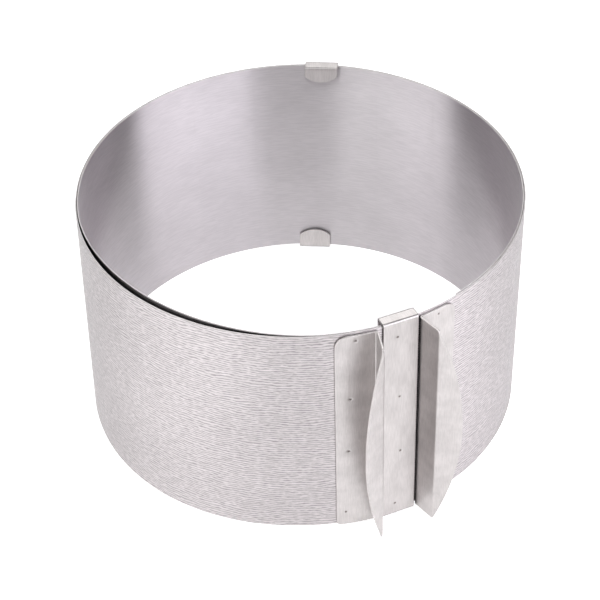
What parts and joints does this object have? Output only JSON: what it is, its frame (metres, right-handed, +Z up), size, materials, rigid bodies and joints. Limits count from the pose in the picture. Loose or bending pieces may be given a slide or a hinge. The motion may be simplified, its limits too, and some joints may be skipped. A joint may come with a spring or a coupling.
{
  "type": "adjustable cake ring",
  "caption": "Round bottomless cake and mousse ring of wound spring steel strip that opens to any size between limits, with finger handles and guide brackets.",
  "frame": {"origin": "middle of the closed ring's footprint, handles included, on the surface it stands on", "axes": "+Z up along the ring, -Y out through the handles"},
  "size_m": [0.1536, 0.167, 0.0868],
  "materials": {
    "band": "fine lengthwise brushed grain",
    "fittings": "smooth satin with spot-weld marks"
  },
  "bodies": {
    "outer_end": {"band_01": "band", "front_guide_bracket": "fittings", "left_handle": "fittings"},
    "band_02": {"band_02": "band"},
    "band_03": {"band_03": "band"},
    "band_04": {"band_04": "band"},
    "band_05": {"band_05": "band"},
    "band_06": {"band_06": "band"},
    "band_07": {"band_07": "band"},
    "band_08": {"band_08": "band"},
    "band_09": {"band_09": "band"},
    "band_10": {"band_10": "band"},
    "band_11": {"band_11": "band"},
    "back_bracket_part": {"band_12": "band", "back_guide_bracket": "fittings"},
    "band_13": {"band_13": "band"},
    "band_14": {"band_14": "band"},
    "band_15": {"band_15": "band"},
    "band_16": {"band_16": "band"},
    "band_17": {"band_17": "band"},
    "band_18": {"band_18": "band"},
    "band_19": {"band_19": "band"},
    "right_handle_part": {"band_20": "band", "right_handle": "fittings"},
    "band_21": {"band_21": "band"},
    "band_22": {"band_22": "band"},
    "band_23": {"band_23": "band"},
    "band_24": {"band_24": "band"},
    "band_25": {"band_25": "band"},
    "band_26": {"band_26": "band"},
    "band_27": {"band_27": "band"},
    "band_28": {"band_28": "band"},
    "band_29": {"band_29": "band"},
    "band_30": {"band_30": "band"},
    "band_31": {"band_31": "band"},
    "band_32": {"band_32": "band"},
    "band_33": {"band_33": "band"},
    "band_34": {"band_34": "band"},
    "band_35": {"band_35": "band"},
    "band_36": {"band_36": "band"},
    "band_37": {"band_37": "band"},
    "band_38": {"band_38": "band"},
    "band_39": {"band_39": "band"}
  },
  "joints": [
    {"name": "ring_opening", "type": "hinge", "parent": "right_handle_part", "child": "band_21", "pos_m": [-0.00112, -0.06958, 0.0434], "axis": [0, 0, 1], "range_deg": [0, 8.6]},
    {"name": "bend_21", "type": "hinge", "parent": "band_21", "child": "band_22", "pos_m": [-0.02464, -0.06538, 0.0434], "axis": [0, 0, 1], "range_deg": [0, 8.6]},
    {"name": "bend_22", "type": "hinge", "parent": "band_22", "child": "band_23", "pos_m": [-0.04518, -0.05344, 0.0434], "axis": [0, 0, 1], "range_deg": [0, 8.6]},
    {"name": "bend_23", "type": "hinge", "parent": "band_23", "child": "band_24", "pos_m": [-0.06107, -0.03609, 0.0434], "axis": [0, 0, 1], "range_deg": [0, 8.6]},
    {"name": "bend_24", "type": "hinge", "parent": "band_24", "child": "band_25", "pos_m": [-0.07147, -0.01508, 0.0434], "axis": [0, 0, 1], "range_deg": [0, 8.6]},
    {"name": "bend_25", "type": "hinge", "parent": "band_25", "child": "band_26", "pos_m": [-0.07552, 0.00817, 0.0434], "axis": [0, 0, 1], "range_deg": [0, 8.6]},
    {"name": "bend_26", "type": "hinge", "parent": "band_26", "child": "band_27", "pos_m": [-0.07179, 0.03166, 0.0434], "axis": [0, 0, 1], "range_deg": [0, 8.6]},
    {"name": "bend_27", "type": "hinge", "parent": "band_27", "child": "band_28", "pos_m": [-0.06056, 0.05269, 0.0434], "axis": [0, 0, 1], "range_deg": [0, 8.6]},
    {"name": "bend_28", "type": "hinge", "parent": "band_28", "child": "band_29", "pos_m": [-0.04339, 0.06922, 0.0434], "axis": [0, 0, 1], "range_deg": [0, 8.6]},
    {"name": "bend_29", "type": "hinge", "parent": "band_29", "child": "band_30", "pos_m": [-0.02195, 0.07963, 0.0434], "axis": [0, 0, 1], "range_deg": [0, 8.6]},
    {"name": "bend_30", "type": "hinge", "parent": "band_30", "child": "band_31", "pos_m": [0.00164, 0.0829, 0.0434], "axis": [0, 0, 1], "range_deg": [0, 8.6]},
    {"name": "bend_31", "type": "hinge", "parent": "band_31", "child": "band_32", "pos_m": [0.02508, 0.07872, 0.0434], "axis": [0, 0, 1], "range_deg": [0, 8.6]},
    {"name": "bend_32", "type": "hinge", "parent": "band_32", "child": "band_33", "pos_m": [0.04608, 0.06751, 0.0434], "axis": [0, 0, 1], "range_deg": [0, 8.6]},
    {"name": "bend_33", "type": "hinge", "parent": "band_33", "child": "band_34", "pos_m": [0.06258, 0.05037, 0.0434], "axis": [0, 0, 1], "range_deg": [0, 8.6]},
    {"name": "bend_34", "type": "hinge", "parent": "band_34", "child": "band_35", "pos_m": [0.07296, 0.02897, 0.0434], "axis": [0, 0, 1], "range_deg": [0, 8.6]},
    {"name": "bend_35", "type": "hinge", "parent": "band_35", "child": "band_36", "pos_m": [0.07623, 0.00542, 0.0434], "axis": [0, 0, 1], "range_deg": [0, 8.6]},
    {"name": "bend_36", "type": "hinge", "parent": "band_36", "child": "band_37", "pos_m": [0.07206, -0.01798, 0.0434], "axis": [0, 0, 1], "range_deg": [0, 8.6]},
    {"name": "bend_37", "type": "hinge", "parent": "band_37", "child": "band_38", "pos_m": [0.06087, -0.03894, 0.0434], "axis": [0, 0, 1], "range_deg": [0, 8.6]},
    {"name": "bend_38", "type": "hinge", "parent": "band_38", "child": "band_39", "pos_m": [0.04376, -0.0554, 0.0434], "axis": [0, 0, 1], "range_deg": [0, 8.6]},
    {"name": "bend_19", "type": "hinge", "parent": "right_handle_part", "child": "band_19", "pos_m": [0.02256, -0.0663, 0.0434], "axis": [0, 0, -1], "range_deg": [0, 8.6]},
    {"name": "bend_18", "type": "hinge", "parent": "band_19", "child": "band_18", "pos_m": [0.04407, -0.05585, 0.0434], "axis": [0, 0, -1], "range_deg": [0, 8.6]},
    {"name": "bend_17", "type": "hinge", "parent": "band_18", "child": "band_17", "pos_m": [0.06131, -0.03927, 0.0434], "axis": [0, 0, -1], "range_deg": [0, 8.6]},
    {"name": "bend_16", "type": "hinge", "parent": "band_17", "child": "band_16", "pos_m": [0.07258, -0.01816, 0.0434], "axis": [0, 0, -1], "range_deg": [0, 8.6]},
    {"name": "bend_15", "type": "hinge", "parent": "band_16", "child": "band_15", "pos_m": [0.07678, 0.00541, 0.0434], "axis": [0, 0, -1], "range_deg": [0, 8.6]},
    {"name": "bend_14", "type": "hinge", "parent": "band_15", "child": "band_14", "pos_m": [0.07349, 0.02913, 0.0434], "axis": [0, 0, -1], "range_deg": [0, 8.6]},
    {"name": "bend_13", "type": "hinge", "parent": "band_14", "child": "band_13", "pos_m": [0.06303, 0.05068, 0.0434], "axis": [0, 0, -1], "range_deg": [0, 8.6]},
    {"name": "bend_12", "type": "hinge", "parent": "band_13", "child": "back_bracket_part", "pos_m": [0.04641, 0.06795, 0.0434], "axis": [0, 0, -1], "range_deg": [0, 8.6]},
    {"name": "bend_11", "type": "hinge", "parent": "back_bracket_part", "child": "band_11", "pos_m": [0.02526, 0.07924, 0.0434], "axis": [0, 0, -1], "range_deg": [0, 8.6]},
    {"name": "bend_10", "type": "hinge", "parent": "band_11", "child": "band_10", "pos_m": [0.00165, 0.08345, 0.0434], "axis": [0, 0, -1], "range_deg": [0, 8.6]},
    {"name": "bend_09", "type": "hinge", "parent": "band_10", "child": "band_09", "pos_m": [-0.02211, 0.08015, 0.0434], "axis": [0, 0, -1], "range_deg": [0, 8.6]},
    {"name": "bend_08", "type": "hinge", "parent": "band_09", "child": "band_08", "pos_m": [-0.0437, 0.06967, 0.0434], "axis": [0, 0, -1], "range_deg": [0, 8.6]},
    {"name": "bend_07", "type": "hinge", "parent": "band_08", "child": "band_07", "pos_m": [-0.061, 0.05302, 0.0434], "axis": [0, 0, -1], "range_deg": [0, 8.6]},
    {"name": "bend_06", "type": "hinge", "parent": "band_07", "child": "band_06", "pos_m": [-0.07233, 0.03184, 0.0434], "axis": [0, 0, -1], "range_deg": [0, 8.6]},
    {"name": "bend_05", "type": "hinge", "parent": "band_06", "child": "band_05", "pos_m": [-0.07678, 0.00819, 0.0434], "axis": [0, 0, -1], "range_deg": [0, 8.6]},
    {"name": "bend_04", "type": "hinge", "parent": "band_05", "child": "band_04", "pos_m": [-0.0736, -0.01574, 0.0434], "axis": [0, 0, -1], "range_deg": [0, 8.6]},
    {"name": "bend_03", "type": "hinge", "parent": "band_04", "child": "band_03", "pos_m": [-0.063, -0.03744, 0.0434], "axis": [0, 0, -1], "range_deg": [0, 8.6]},
    {"name": "bend_02", "type": "hinge", "parent": "band_03", "child": "band_02", "pos_m": [-0.04612, -0.05468, 0.0434], "axis": [0, 0, -1], "range_deg": [0, 8.6]},
    {"name": "bend_01", "type": "hinge", "parent": "band_02", "child": "outer_end", "pos_m": [-0.02482, -0.06591, 0.0434], "axis": [0, 0, -1], "range_deg": [0, 8.6]}
  ],
  "couplings": [
    {"joint": "bend_21", "follows": "ring_opening", "ratio": 1},
    {"joint": "bend_22", "follows": "ring_opening", "ratio": 1},
    {"joint": "bend_23", "follows": "ring_opening", "ratio": 1},
    {"joint": "bend_24", "follows": "ring_opening", "ratio": 1},
    {"joint": "bend_25", "follows": "ring_opening", "ratio": 1},
    {"joint": "bend_26", "follows": "ring_opening", "ratio": 1},
    {"joint": "bend_27", "follows": "ring_opening", "ratio": 1},
    {"joint": "bend_28", "follows": "ring_opening", "ratio": 1},
    {"joint": "bend_29", "follows": "ring_opening", "ratio": 1},
    {"joint": "bend_30", "follows": "ring_opening", "ratio": 1},
    {"joint": "bend_31", "follows": "ring_opening", "ratio": 1},
    {"joint": "bend_32", "follows": "ring_opening", "ratio": 1},
    {"joint": "bend_33", "follows": "ring_opening", "ratio": 1},
    {"joint": "bend_34", "follows": "ring_opening", "ratio": 1},
    {"joint": "bend_35", "follows": "ring_opening", "ratio": 1},
    {"joint": "bend_36", "follows": "ring_opening", "ratio": 1},
    {"joint": "bend_37", "follows": "ring_opening", "ratio": 1},
    {"joint": "bend_38", "follows": "ring_opening", "ratio": 1},
    {"joint": "bend_19", "follows": "ring_opening", "ratio": 1},
    {"joint": "bend_18", "follows": "ring_opening", "ratio": 1},
    {"joint": "bend_17", "follows": "ring_opening", "ratio": 1},
    {"joint": "bend_16", "follows": "ring_opening", "ratio": 1},
    {"joint": "bend_15", "follows": "ring_opening", "ratio": 1},
    {"joint": "bend_14", "follows": "ring_opening", "ratio": 1},
    {"joint": "bend_13", "follows": "ring_opening", "ratio": 1},
    {"joint": "bend_12", "follows": "ring_opening", "ratio": 1},
    {"joint": "bend_11", "follows": "ring_opening", "ratio": 1},
    {"joint": "bend_10", "follows": "ring_opening", "ratio": 1},
    {"joint": "bend_09", "follows": "ring_opening", "ratio": 1},
    {"joint": "bend_08", "follows": "ring_opening", "ratio": 1},
    {"joint": "bend_07", "follows": "ring_opening", "ratio": 1},
    {"joint": "bend_06", "follows": "ring_opening", "ratio": 1},
    {"joint": "bend_05", "follows": "ring_opening", "ratio": 1},
    {"joint": "bend_04", "follows": "ring_opening", "ratio": 1},
    {"joint": "bend_03", "follows": "ring_opening", "ratio": 1},
    {"joint": "bend_02", "follows": "ring_opening", "ratio": 1},
    {"joint": "bend_01", "follows": "ring_opening", "ratio": 1}
  ]
}
